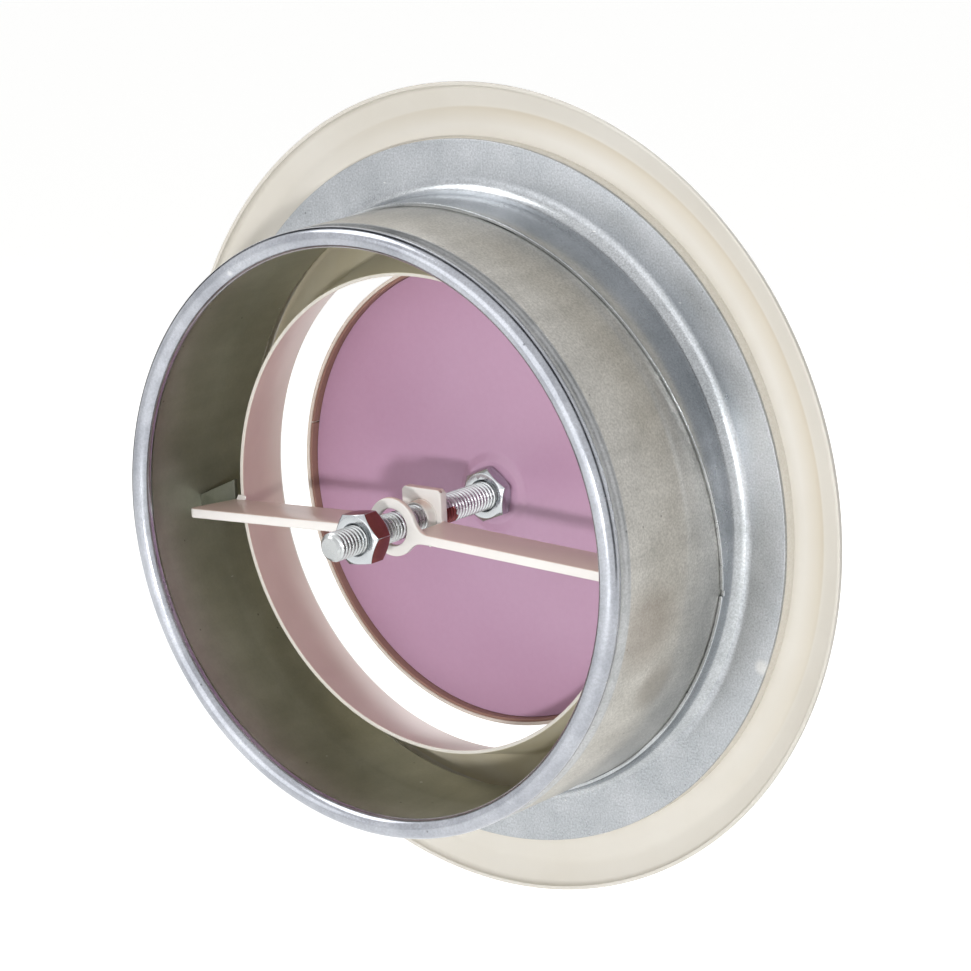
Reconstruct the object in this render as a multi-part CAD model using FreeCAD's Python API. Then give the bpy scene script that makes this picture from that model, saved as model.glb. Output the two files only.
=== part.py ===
import FreeCAD, Part
import math
import os

# Fire rated extract valve for a 125 mm duct. Millimetres, Z up, the duct axis along Y.
# The origin is the centre of the wall plane: the collar goes into the wall towards -Y and the room
# is on the +Y side. The crossbar lies along X.

# Collar
SPIGOT_R = 62.0            # outside of the tube that enters the duct
SPIGOT_REACH = 41.0        # wall plane to the front of the bead
TUBE_SHEET = 0.7
SEAT_DRAW = 0.15           # the tube is drawn in by this where the flange's neck sits on it
SEAT_DRAW_R = 10.0         # bend radius of that shoulder
SEAT_MARGIN = 0.3          # deepest side of the neck to the shoulder
BEAD_R = 2.1               # rolled bead on the duct end, curled inwards
BEAD_CREASE = 35.0         # angle of the crease between tube and bead, degrees
BEAD_CURL = 250.0          # the edge curls this far past the crease
FLANGE_BRIM = 11.5         # flange edge beyond the outside of the tube
FLANGE_SHEET = 0.8
NECK_BEND_R = 3.4          # concave bend between the flange and its neck
NECK_MEAN = 3.4            # neck depth halfway round; its edge is trimmed askew
NECK_ASKEW = 10.8          # how far the deepest side of the neck lies below that
NECK_DEEP_AT = 74.0        # direction of the deepest side, degrees from +X towards +Z
NECK_SEAM_AT = -10.9       # notch where the ends of the neck meet
NECK_SEAM = 1.2
CATCH_SHEET = 1.0
CATCH_FOOT = 8.0
CATCH_WELD_GAP = 1.8       # outside of the throat to the inner edge of a catch
CATCH_LEAD = 9.3           # the catch starts this far before the tang, degrees
CATCH_LEAD_IN = 6.0        # and slopes outwards over this angle
CATCH_TRAIL = 2.5          # it ends this far past the tang

# Valve body
BODY_SHEET = 0.8
THROAT_GAP = 12.4          # outside of the tube to the outside of the throat
THROAT_REACH = 20.2        # wall plane to the duct end of the throat
THROAT_ENDS = 3.8          # wall plane to where the throat bends into the seat cone
THROAT_OPENING = 14.4      # the throat widens towards the room by this angle, degrees
FLARE_R = 2.5
FLARE_SLOPE = 33.0         # slope of the seat cone against the wall plane, degrees
SEAT_EASE_R = 5.0
RIM_FROM = 0.5             # edge of the flange to the start of the rim
RIM_EASE_R = 6.0
RIM_RISE = 18.0            # the rim first swells towards the room by this angle, degrees
RIM_RUN = 2.6
RIM_CREST_R = 3.5
RIM_FALL = 16.0            # and then falls back to the wall by this angle
LIP_OVERHANG = 11.3        # lip beyond the edge of the flange
LIP_BEND_R = 1.2
LIP_EDGE = 0.3
GASKET_T = 2.4
GASKET_INSET = 0.7
GASKET_MARGIN = 0.6        # start of the body's flat band to the inside of the gasket

# Crossbar
BAR_T = 2.0
BAR_WIDTH = 10.6
BAR_SLOPE = 2.5            # each arm drops towards its end by this angle, degrees
BAR_BELOW_AXIS = 0.3       # top of the bar under the spindle axis, in the middle
TANG_TIP_GAP = 6.0         # tip of the tang to the inside of the tube
TANG_RAKE = 4.3            # the tip is cut back by this much on the room side
TANG_ROUND_R = 1.2
CATCH_GAP = 0.15           # tang to the face of its catch
EYE_R = 6.0
EYE_T = 1.2
EYE_HOLE_R = 3.8
EYE_BLEND_R = 4.0
WINDOW_WIDTH = 10.0
TAB_TOP = 6.0
TAB_DROP = 5.2
TAB_CORNER = 0.7
BUSH_R = 4.1
BUSH_STEP = 0.4
BUSH_PROUD = 2.2
WELD_LEG = 1.0
WELD_LENGTH = 2.4

# Spindle and nuts, M6
SPINDLE_R = 2.97
SPINDLE_DUCT_END = -50.0
SPINDLE_CHAMFER = 0.9
THREAD_GAP = 0.05
CLEARANCE_HOLE_R = 3.3
NUT_AF = 10.0
LOCK_NUT_H = 5.0
LOCK_NUT_GAP = 6.6         # lock nut to the eye, as photographed
THIN_NUT_H = 3.2
LOCK_NUT_TURN = 7.0        # direction of one corner, degrees from +X towards +Z
DISC_NUT_TURN = 22.0

# Disc
DISC_UNDERSIZE = 0.5       # disc radius under the throat radius
DISC_EDGE_Y = 0.6
DISC_SHEET = 0.7
DISC_WALL = 6.0
DISC_CORNER_R = 3.5
DISC_DOME = 6.0            # slope of the room face at its corner, degrees
PAD_RECESS = 2.0           # disc edge to the face of the pad
PAD_T = 1.6
PLATE_SHEET = 0.8
BOSS_R = 6.4
BOSS_HEIGHT = 0.8
BOSS_SLOPE = 25.0
BOSS_TOP_R = 1.2
BOSS_FOOT_R = 2.5
PLATE_BEND_R = 0.6
PLATE_EDGE = 1.5
STRIP_T = 0.6
STRIP_BELOW_EDGE = 0.3
STRIP_BUTT = 0.4           # gap where the ends of the rim strip meet
STRIP_BUTT_AT = 168.0      # degrees from +X towards +Z

# Derived once, used by several pieces
TUBE_IN_R = SPIGOT_R - TUBE_SHEET
SEAT_R = SPIGOT_R - SEAT_DRAW
NECK_END_Y = -NECK_MEAN - NECK_ASKEW
FLANGE_R = SPIGOT_R + FLANGE_BRIM
THROAT_R = SPIGOT_R - THROAT_GAP
LIP_R = FLANGE_R + LIP_OVERHANG
BODY_BACK_Y = FLANGE_SHEET + GASKET_T
BAR_ROOM_Y = -THROAT_REACH
BAR_DUCT_Y = BAR_ROOM_Y - BAR_WIDTH
TANG_TIP_X = TUBE_IN_R - TANG_TIP_GAP
TAB_DUCT_Y = BAR_ROOM_Y - BAR_T / 2
TAB_ROOM_Y = TAB_DUCT_Y + BAR_T
DISC_R = THROAT_R - DISC_UNDERSIZE
DISC_IN_R = DISC_R - DISC_SHEET
PAD_FACE_Y = DISC_EDGE_Y + PAD_RECESS
BOSS_FACE_Y = PAD_FACE_Y - BOSS_HEIGHT
PLATE_ROOM_Y = BOSS_FACE_Y + PAD_T + PLATE_SHEET
SPINDLE_ROOM_END = PLATE_ROOM_Y + THIN_NUT_H + 1.5

ORIGIN = FreeCAD.Vector(0, 0, 0)
AXIS = FreeCAD.Vector(0, 1, 0)


def vec(x, y, z=0.0):
    return FreeCAD.Vector(x, y, z)


def at_angle(radius, y, degrees):
    """Point on a circle about the duct axis, turned from +X towards +Z."""
    a = math.radians(degrees)
    return vec(radius * math.cos(a), y, radius * math.sin(a))


def cylinder(radius, y_from, y_to):
    return Part.makeCylinder(radius, y_to - y_from, vec(0, y_from), AXIS)


def ring(outer, inner, y_from, y_to):
    return cylinder(outer, y_from, y_to).cut(cylinder(inner, y_from, y_to))


def box(x_from, x_to, y_from, y_to, z_from, z_to):
    return Part.makeBox(x_to - x_from, y_to - y_from, z_to - z_from, vec(x_from, y_from, z_from))


def beside(start, heading, moves, offset):
    """Edges that follow a bend path at an offset to its left, with their two end points."""
    x, y = start
    h = math.radians(heading)
    edges = []
    first = vec(x - math.sin(h) * offset, y + math.cos(h) * offset)
    here = first
    for move in moves:
        left = (-math.sin(h), math.cos(h))
        if move[0] == "run":
            x += move[1] * math.cos(h)
            y += move[1] * math.sin(h)
            there = vec(x + left[0] * offset, y + left[1] * offset)
            edges.append(Part.makeLine(here, there))
        else:
            radius, angle = move[1], math.radians(move[2])
            side = 1 if angle > 0 else -1
            cx = x + side * radius * left[0]
            cy = y + side * radius * left[1]
            reach = radius - side * offset
            begin = math.atan2(y - cy, x - cx)
            half = begin + angle / 2
            end = begin + angle
            middle = vec(cx + reach * math.cos(half), cy + reach * math.sin(half))
            there = vec(cx + reach * math.cos(end), cy + reach * math.sin(end))
            edges.append(Part.Arc(here, middle, there).toShape())
            x = cx + radius * math.cos(end)
            y = cy + radius * math.sin(end)
            h += angle
        here = there
    return edges, first, here


def spun_sheet(start, heading, moves, near, far):
    """Sheet metal between two offsets of a bend path (radius, y), spun about the duct axis."""
    near_edges, near_start, near_end = beside(start, heading, moves, near)
    far_edges, far_start, far_end = beside(start, heading, moves, far)
    caps = [Part.makeLine(near_start, far_start), Part.makeLine(near_end, far_end)]
    outline = Part.Wire(Part.__sortEdges__(near_edges + far_edges + caps))
    return Part.Face(outline).revolve(ORIGIN, AXIS, 360)


def bar_level(x):
    """Height of the bar's top face at x."""
    return -BAR_BELOW_AXIS - abs(x) * math.tan(math.radians(BAR_SLOPE))


def spigot_tube():
    """Tube from the flange's bend to a creased bead, curled inwards at the duct end."""
    draw = math.acos(1 - SEAT_DRAW / (2 * SEAT_DRAW_R))
    seat = -NECK_END_Y + SEAT_MARGIN - NECK_BEND_R
    shoulder = 2 * SEAT_DRAW_R * math.sin(draw)
    crease = math.radians(BEAD_CREASE)
    nip = BEAD_R / 2
    swell = (nip + BEAD_R) * (1 - math.cos(crease))
    step = math.acos(1 - swell / (2 * BEAD_R))
    lead = 2 * BEAD_R * math.sin(step) + (nip + BEAD_R) * math.sin(crease)
    wall = SPIGOT_REACH - NECK_BEND_R - BEAD_R - lead - seat - shoulder
    moves = [
        ("run", seat),
        ("bend", SEAT_DRAW_R, math.degrees(draw)),
        ("bend", SEAT_DRAW_R, -math.degrees(draw)),
        ("run", wall),
        ("bend", BEAD_R, -math.degrees(step)),
        ("bend", BEAD_R, math.degrees(step)),
        ("bend", nip, BEAD_CREASE),
        ("bend", BEAD_R, -BEAD_CREASE - BEAD_CURL),
    ]
    return spun_sheet((SEAT_R, -NECK_BEND_R), -90, moves, 0, -TUBE_SHEET)


def mounting_flange():
    """Flat ring with a neck that sleeves the tube; the neck's edge is trimmed askew."""
    bend_x = SEAT_R + FLANGE_SHEET + NECK_BEND_R
    shallow = NECK_BEND_R + 1.0
    moves = [
        ("run", FLANGE_R - bend_x),
        ("bend", NECK_BEND_R, 90),
        ("run", shallow - NECK_BEND_R),
    ]
    flange = spun_sheet((FLANGE_R, 0), 180, moves, 0, -FLANGE_SHEET)
    neck = ring(SEAT_R + FLANGE_SHEET, SEAT_R, NECK_END_Y, -shallow)
    size = 3 * FLANGE_R
    waste = box(-size, size, -size, 0, -size, size)
    tilt = math.degrees(math.atan(NECK_ASKEW / SEAT_R))
    hinge = at_angle(1, 0, NECK_DEEP_AT - 90)
    waste.rotate(ORIGIN, hinge, tilt)
    waste.translate(vec(0, -NECK_MEAN))
    neck = neck.cut(waste)
    notch = box(0, 2 * SPIGOT_R, NECK_END_Y, -shallow + NECK_SEAM / 2, -NECK_SEAM / 2, NECK_SEAM / 2)
    notch.rotate(ORIGIN, AXIS, -NECK_SEAM_AT)
    return flange.fuse(neck).cut(notch).removeSplitter()


def collar_catch(tang_at):
    """Bayonet catch: a lug behind the tang, with a foot welded to the tube."""
    room = BAR_ROOM_Y + CATCH_GAP
    inner = THROAT_R + CATCH_WELD_GAP
    outer = 2 * TUBE_IN_R - inner
    lead_in = tang_at - CATCH_LEAD
    lead_wall = lead_in + CATCH_LEAD_IN
    trail = tang_at + CATCH_TRAIL
    corners = [
        ORIGIN + vec(0, room),
        at_angle(inner, room, lead_in),
        at_angle(outer, room, lead_wall),
        at_angle(outer, room, trail),
    ]
    lug = Part.Face(Part.makePolygon(corners + corners[:1])).extrude(vec(0, CATCH_SHEET))
    lug = lug.common(ring(TUBE_IN_R, inner, room, room + CATCH_SHEET))
    base = room + CATCH_SHEET
    sector = [ORIGIN, at_angle(2 * outer, 0, lead_wall + 1), at_angle(2 * outer, 0, trail), ORIGIN]
    wedge = Part.Face(Part.makePolygon(sector)).extrude(vec(0, CATCH_FOOT))
    wedge.translate(vec(0, base))
    seat_in = SEAT_R - TUBE_SHEET
    foot = ring(seat_in, seat_in - CATCH_SHEET, base, base + CATCH_FOOT).common(wedge)
    return lug.fuse(foot).removeSplitter()


def collar_catches():
    middle = (TANG_TIP_X + THROAT_R) / 2
    droop = math.degrees(math.atan2(-bar_level(middle) + BAR_T / 2, middle))
    return Part.Compound([collar_catch(-droop), collar_catch(180 + droop)])


def seat_path():
    """Throat and seat cone as a bend path that ends on the flat band, with the band's radius."""
    opening, slope = math.radians(THROAT_OPENING), math.radians(FLARE_SLOPE)
    depth = THROAT_REACH - THROAT_ENDS
    flare_y = -THROAT_ENDS + FLARE_R * (math.cos(slope) - math.sin(opening))
    cone = (BODY_BACK_Y - flare_y - SEAT_EASE_R * (1 - math.cos(slope))) / math.sin(slope)
    band_from = THROAT_R + depth * math.tan(opening) + cone * math.cos(slope)
    band_from += FLARE_R * (math.cos(opening) - math.sin(slope)) + SEAT_EASE_R * math.sin(slope)
    moves = [
        ("run", depth / math.cos(opening)),
        ("bend", FLARE_R, FLARE_SLOPE + THROAT_OPENING - 90),
        ("run", cone),
        ("bend", SEAT_EASE_R, -FLARE_SLOPE),
    ]
    return moves, band_from


def foam_gasket():
    band_from = seat_path()[1]
    return ring(FLANGE_R - GASKET_INSET, band_from + GASKET_MARGIN, FLANGE_SHEET, BODY_BACK_Y)


def valve_body():
    """Throat, seat cone, flat band and rolled rim, spun from one sheet."""
    moves, band_from = seat_path()
    rise, fall = math.radians(RIM_RISE), math.radians(RIM_FALL)
    rim_from = FLANGE_R + RIM_FROM
    bends = RIM_EASE_R * math.sin(rise) + RIM_CREST_R * (math.sin(rise) + math.sin(fall))
    bends += LIP_BEND_R * (1 - math.sin(fall))
    fall_run = LIP_R - BODY_SHEET - rim_from - RIM_RUN * math.cos(rise) - bends
    moves += [
        ("run", rim_from - band_from),
        ("bend", RIM_EASE_R, RIM_RISE),
        ("run", RIM_RUN),
        ("bend", RIM_CREST_R, -RIM_RISE - RIM_FALL),
        ("run", fall_run / math.cos(fall)),
        ("bend", LIP_BEND_R, RIM_FALL - 90),
        ("run", LIP_EDGE),
    ]
    return spun_sheet((THROAT_R, -THROAT_REACH), 90 - THROAT_OPENING, moves, 0, BODY_SHEET)


def blend_arc(centre, start, end):
    """Arc about a centre from one tangent point to another."""
    bisector = (start - centre).normalize() + (end - centre).normalize()
    middle = centre + bisector.normalize() * EYE_BLEND_R
    return Part.Arc(start, middle, end).toShape()


def eye_web(side):
    """Web between the round eye and one arm, with a concave corner above and below the arm."""
    y = BAR_DUCT_Y
    reach = EYE_R + EYE_BLEND_R
    top = bar_level(reach)
    low = top - BAR_T
    top_x = math.sqrt(reach ** 2 - (top + EYE_BLEND_R) ** 2)
    low_x = math.sqrt(reach ** 2 - (low - EYE_BLEND_R) ** 2)
    top_centre = vec(side * top_x, y, top + EYE_BLEND_R)
    low_centre = vec(side * low_x, y, low - EYE_BLEND_R)
    on_eye_top = vec(0, y) + (top_centre - vec(0, y)) * (EYE_R / reach)
    on_eye_low = vec(0, y) + (low_centre - vec(0, y)) * (EYE_R / reach)
    on_arm_top = vec(side * top_x, y, top)
    on_arm_low = vec(side * low_x, y, low)
    outline = [
        blend_arc(top_centre, on_eye_top, on_arm_top),
        Part.makeLine(on_arm_top, vec(side * top_x, y, low)),
        Part.makeLine(vec(side * top_x, y, low), on_arm_low),
        blend_arc(low_centre, on_arm_low, on_eye_low),
        Part.makeLine(on_eye_low, on_eye_top),
    ]
    return Part.Face(Part.Wire(outline)).extrude(vec(0, EYE_T))


def bar_plan():
    """Plan of the bar: raked tangs with rounded tips, cut through its thickness."""
    tip, root = TANG_TIP_X, TANG_TIP_X - TANG_RAKE
    duct, room = BAR_DUCT_Y, BAR_ROOM_Y
    corners = [vec(tip, duct), vec(root, room), vec(-root, room), vec(-tip, duct)]
    plan = Part.Face(Part.makePolygon(corners + corners[:1])).extrude(vec(0, 0, 2 * EYE_R))
    plan.translate(vec(0, 0, -3 * EYE_R / 2))
    upright = [e for e in plan.Edges if abs(e.Vertexes[0].Z - e.Vertexes[-1].Z) > EYE_R]
    return plan.makeFillet(TANG_ROUND_R, upright)


def spindle_tab():
    """Square tab across the room edge of the bar, with its top corners snipped."""
    half = WINDOW_WIDTH / 2
    snip = TAB_TOP - TAB_CORNER
    shoulder = half - TAB_CORNER
    points = [(-half, -TAB_DROP), (half, -TAB_DROP), (half, snip), (shoulder, TAB_TOP),
              (-shoulder, TAB_TOP), (-half, snip), (-half, -TAB_DROP)]
    outline = Part.makePolygon([vec(x, TAB_DUCT_Y, z) for x, z in points])
    return Part.Face(outline).extrude(vec(0, BAR_T))


def crossbar():
    """Flat bar, arched towards its ends, with an eye and a tab for the spindle."""
    tip = TANG_TIP_X
    top = [vec(-tip, 0, bar_level(tip)), vec(0, 0, bar_level(0)), vec(tip, 0, bar_level(tip))]
    low = [p - vec(0, 0, BAR_T) for p in reversed(top)]
    arch = Part.Face(Part.makePolygon(top + low + top[:1])).extrude(vec(0, BAR_WIDTH))
    arch.translate(vec(0, BAR_DUCT_Y))
    half = WINDOW_WIDTH / 2
    window = box(-half, half, BAR_DUCT_Y + EYE_T, TAB_DUCT_Y, -EYE_R, EYE_R)
    bar = arch.common(bar_plan()).cut(window)
    eye = cylinder(EYE_R, BAR_DUCT_Y, BAR_DUCT_Y + EYE_T)
    bar = bar.fuse([eye, eye_web(1), eye_web(-1), spindle_tab()])
    bar = bar.cut(cylinder(EYE_HOLE_R, BAR_DUCT_Y, BAR_DUCT_Y + EYE_T))
    bar = bar.cut(cylinder(BUSH_R - BUSH_STEP, TAB_DUCT_Y, TAB_ROOM_Y))
    return bar.removeSplitter()


def crossbar_welds():
    """Fillets in the corners between the faces of the bar and the end of the throat."""
    wall = THROAT_R - BODY_SHEET / 2
    bar = crossbar()
    fillets = []
    for side in (-1, 1):
        x = side * wall - WELD_LENGTH / 2
        for face, out in ((bar_level(wall), 1), (bar_level(wall) - BAR_T, -1)):
            root = face - out * BAR_T / 4
            corners = [vec(x, BAR_ROOM_Y, root), vec(x, BAR_ROOM_Y - WELD_LEG, root),
                       vec(x, BAR_ROOM_Y - WELD_LEG / 4, face + out * WELD_LEG / 2),
                       vec(x, BAR_ROOM_Y, face + out * WELD_LEG), vec(x, BAR_ROOM_Y, root)]
            fillet = Part.Face(Part.makePolygon(corners)).extrude(vec(WELD_LENGTH, 0))
            fillets.append(fillet.cut(bar))
    return Part.Compound(fillets)


def threaded_bush():
    bore = SPINDLE_R + THREAD_GAP
    collar = ring(BUSH_R, bore, TAB_DUCT_Y - BUSH_PROUD, TAB_DUCT_Y)
    shank = ring(BUSH_R - BUSH_STEP, bore, TAB_DUCT_Y, TAB_ROOM_Y)
    return collar.fuse(shank).removeSplitter()


def spindle():
    rod = cylinder(SPINDLE_R, SPINDLE_DUCT_END, SPINDLE_ROOM_END)
    rims = [e for e in rod.Edges if e.Closed and abs(e.Curve.Center.y - SPINDLE_DUCT_END) < 0.01]
    return rod.makeChamfer(SPINDLE_CHAMFER, rims)


def hex_nut(y_from, height, bore, turn):
    """Hexagon nut with both faces chamfered at 30 degrees."""
    corner = NUT_AF / 2 / math.cos(math.radians(30))
    points = [at_angle(corner, y_from, turn + 60 * i) for i in range(7)]
    prism = Part.Face(Part.makePolygon(points)).extrude(vec(0, height))
    flat = NUT_AF / 2 * 0.96
    slope = (corner - flat) * math.tan(math.radians(30))
    y_to = y_from + height
    profile = [vec(0, y_from), vec(flat, y_from), vec(corner, y_from + slope),
               vec(corner, y_to - slope), vec(flat, y_to), vec(0, y_to), vec(0, y_from)]
    envelope = Part.Face(Part.makePolygon(profile)).revolve(ORIGIN, AXIS, 360)
    return prism.common(envelope).cut(cylinder(bore, y_from, y_to))


def lock_nut():
    back = BAR_DUCT_Y - LOCK_NUT_GAP
    return hex_nut(back - LOCK_NUT_H, LOCK_NUT_H, SPINDLE_R + THREAD_GAP, LOCK_NUT_TURN)


def disc_nut():
    return hex_nut(BOSS_FACE_Y - THIN_NUT_H, THIN_NUT_H, SPINDLE_R, DISC_NUT_TURN)


def disc_inner_nut():
    return hex_nut(PLATE_ROOM_Y, THIN_NUT_H, SPINDLE_R, DISC_NUT_TURN)


def boss_moves():
    """Bend path of the disc face from the spindle hole out over the central boss."""
    slope = math.radians(BOSS_SLOPE)
    bends = (BOSS_TOP_R + BOSS_FOOT_R) * (1 - math.cos(slope))
    flank = (BOSS_HEIGHT - bends) / math.sin(slope)
    foot = BOSS_R + (BOSS_TOP_R + BOSS_FOOT_R) * math.sin(slope) + flank * math.cos(slope)
    moves = [
        ("run", BOSS_R - CLEARANCE_HOLE_R),
        ("bend", BOSS_TOP_R, BOSS_SLOPE),
        ("run", flank),
        ("bend", BOSS_FOOT_R, -BOSS_SLOPE),
    ]
    return moves, foot


def intumescent_pad():
    moves, foot = boss_moves()
    moves.append(("run", DISC_IN_R - STRIP_T - foot))
    return spun_sheet((CLEARANCE_HOLE_R, BOSS_FACE_Y), 0, moves, 0, PAD_T)


def disc_backing_plate():
    """Pressed plate behind the pad; its turned edge is a press fit in the disc shell."""
    moves, foot = boss_moves()
    edge_bend = PAD_T + PLATE_SHEET + PLATE_BEND_R
    moves.append(("run", DISC_IN_R + PAD_T - edge_bend - foot))
    moves.append(("bend", edge_bend, 90))
    moves.append(("run", PLATE_EDGE))
    return spun_sheet((CLEARANCE_HOLE_R, BOSS_FACE_Y), 0, moves, PAD_T, PAD_T + PLATE_SHEET)


def rim_strip():
    """Intumescent strip lining the rim of the disc, with a small gap where its ends meet."""
    strip = ring(DISC_IN_R, DISC_IN_R - STRIP_T, DISC_EDGE_Y + STRIP_BELOW_EDGE, PAD_FACE_Y + PAD_T)
    gap = box(0, DISC_R, DISC_EDGE_Y, PAD_FACE_Y + PAD_T, -STRIP_BUTT / 2, STRIP_BUTT / 2)
    gap.rotate(ORIGIN, AXIS, -STRIP_BUTT_AT)
    return strip.cut(gap)


def disc_shell():
    """Room side of the valve disc: a shallow dome with a deep rim."""
    dome = math.radians(DISC_DOME)
    dome_from = DISC_R - DISC_CORNER_R * (1 - math.sin(dome))
    moves = [
        ("run", DISC_WALL),
        ("bend", DISC_CORNER_R, 90 - DISC_DOME),
        ("bend", dome_from / math.sin(dome), DISC_DOME),
    ]
    return spun_sheet((DISC_R, DISC_EDGE_Y), 90, moves, 0, DISC_SHEET)


NODES = {
    "spigot_tube": spigot_tube,
    "mounting_flange": mounting_flange,
    "collar_catches": collar_catches,
    "foam_gasket": foam_gasket,
    "valve_body": valve_body,
    "crossbar": crossbar,
    "crossbar_welds": crossbar_welds,
    "threaded_bush": threaded_bush,
    "spindle": spindle,
    "lock_nut": lock_nut,
    "disc_nut": disc_nut,
    "disc_inner_nut": disc_inner_nut,
    "disc_backing_plate": disc_backing_plate,
    "intumescent_pad": intumescent_pad,
    "rim_strip": rim_strip,
    "disc_shell": disc_shell,
}

os.makedirs("parts", exist_ok=True)
for name, make in NODES.items():
    make().exportStep("parts/" + name + ".step")
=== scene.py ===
import bpy
import math
from mathutils import Matrix, Vector


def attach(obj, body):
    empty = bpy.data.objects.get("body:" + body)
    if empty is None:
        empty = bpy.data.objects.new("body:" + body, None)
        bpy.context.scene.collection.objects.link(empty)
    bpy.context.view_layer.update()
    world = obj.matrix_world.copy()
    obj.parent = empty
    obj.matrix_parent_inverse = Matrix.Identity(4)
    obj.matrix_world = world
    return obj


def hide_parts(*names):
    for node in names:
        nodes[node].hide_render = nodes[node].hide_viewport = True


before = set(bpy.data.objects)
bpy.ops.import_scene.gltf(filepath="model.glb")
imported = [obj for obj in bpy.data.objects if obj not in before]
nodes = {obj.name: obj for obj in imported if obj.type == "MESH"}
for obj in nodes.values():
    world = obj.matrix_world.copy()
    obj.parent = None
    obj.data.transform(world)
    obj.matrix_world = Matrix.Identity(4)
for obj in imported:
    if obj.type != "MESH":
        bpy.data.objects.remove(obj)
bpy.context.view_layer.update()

MM = 0.001

# Sizes in millimetres, as the solids have them. The duct axis is Y and the room is on the +Y side.
SPIGOT_R = 62.0        # outside of the tube
SPIGOT_END = -41.0     # front of the bead
SEAT_R = 61.85         # outside of the tube where the flange's neck sits on it
TUBE_SHEET = 0.7
BEAD_R = 2.1           # bead on the duct end, rolled inwards
FLANGE_R = 73.5
FLANGE_SHEET = 0.8
NECK_BEND_R = 3.4      # concave bend between the flange and its neck
NECK_SHALLOW = -4.4    # the neck's edge runs askew between this height
NECK_DEEP = -14.2      # and this one
THROAT_R = 49.6        # outside of the throat at its duct end
THROAT_END = -20.2
BODY_SHEET = 0.8
BODY_BACK = 3.2        # back of the valve body's flat band
LIP_R = 84.8
DISC_R = 49.1
DISC_SHEET = 0.7
DISC_EDGE = 0.6        # duct side edge of the disc
PAD_FACE = 2.6
PAD_T = 1.6
PLATE_T = 0.8
STRIP_T = 0.6
BOSS_R = 6.4           # low boss in the middle of the disc, which the nut stands on
BOSS_HEIGHT = 0.8
BOLT_HOLE_R = 3.3
ROD_FROM = -50.0
ROD_TO = 8.9
THREAD_R = 2.97
THREAD_ROOT_R = 2.38
PITCH = 1.0
NUT_FLATS = 10.0
NUT_T = 5.0
THIN_NUT_T = 3.2


def linear(hex_colour):
    """sRGB hex value to a linear RGBA colour."""
    parts = [int(hex_colour[i:i + 2], 16) / 255 for i in (1, 3, 5)]
    return [c / 12.92 if c <= 0.04045 else ((c + 0.055) / 1.055) ** 2.4 for c in parts] + [1.0]


def scale_for(cell_mm):
    """Scale of a pattern whose cells are this many millimetres across."""
    return 1 / (cell_mm * MM)


def add(tree, kind, settings=None, links=None):
    """Adds a node; settings are its own properties or its sockets, links are sockets it reads."""
    node = tree.nodes.new(kind)
    for key, value in (settings or {}).items():
        if isinstance(key, str) and hasattr(node, key):
            setattr(node, key, value)
        else:
            node.inputs[key].default_value = value
    for key, socket in (links or {}).items():
        tree.links.new(socket, node.inputs[key])
    return node


def finish_of(name, colour, metallic, roughness, **extra):
    """A material with its surface shader, the object coordinates and the tree to build on."""
    material = bpy.data.materials.new(name)
    material.use_nodes = True
    tree = material.node_tree
    tree.nodes.clear()
    surface = add(tree, "ShaderNodeBsdfPrincipled",
                  {"Base Color": linear(colour), "Metallic": metallic, "Roughness": roughness, **extra})
    add(tree, "ShaderNodeOutputMaterial", links={"Surface": surface.outputs["BSDF"]})
    place = add(tree, "ShaderNodeTexCoord").outputs["Object"]
    return material, tree, surface, place


def spotted(tree, place, under, spot, core, edge, strength, colour):
    """Lays a round spot over the colours under it: solid to its core radius and gone at its edge, in mm."""
    reach = add(tree, "ShaderNodeVectorMath",
                {"operation": "DISTANCE", 1: [v * MM for v in spot]}, {0: place})
    inside = add(tree, "ShaderNodeMapRange",
                 {"From Min": core * MM, "From Max": edge * MM, "To Min": strength, "To Max": 0.0},
                 {"Value": reach.outputs["Value"]})
    laid = add(tree, "ShaderNodeMix", {"data_type": "RGBA", 7: linear(colour)},
               {0: inside.outputs["Result"], 6: under})
    return laid.outputs[2]


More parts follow.
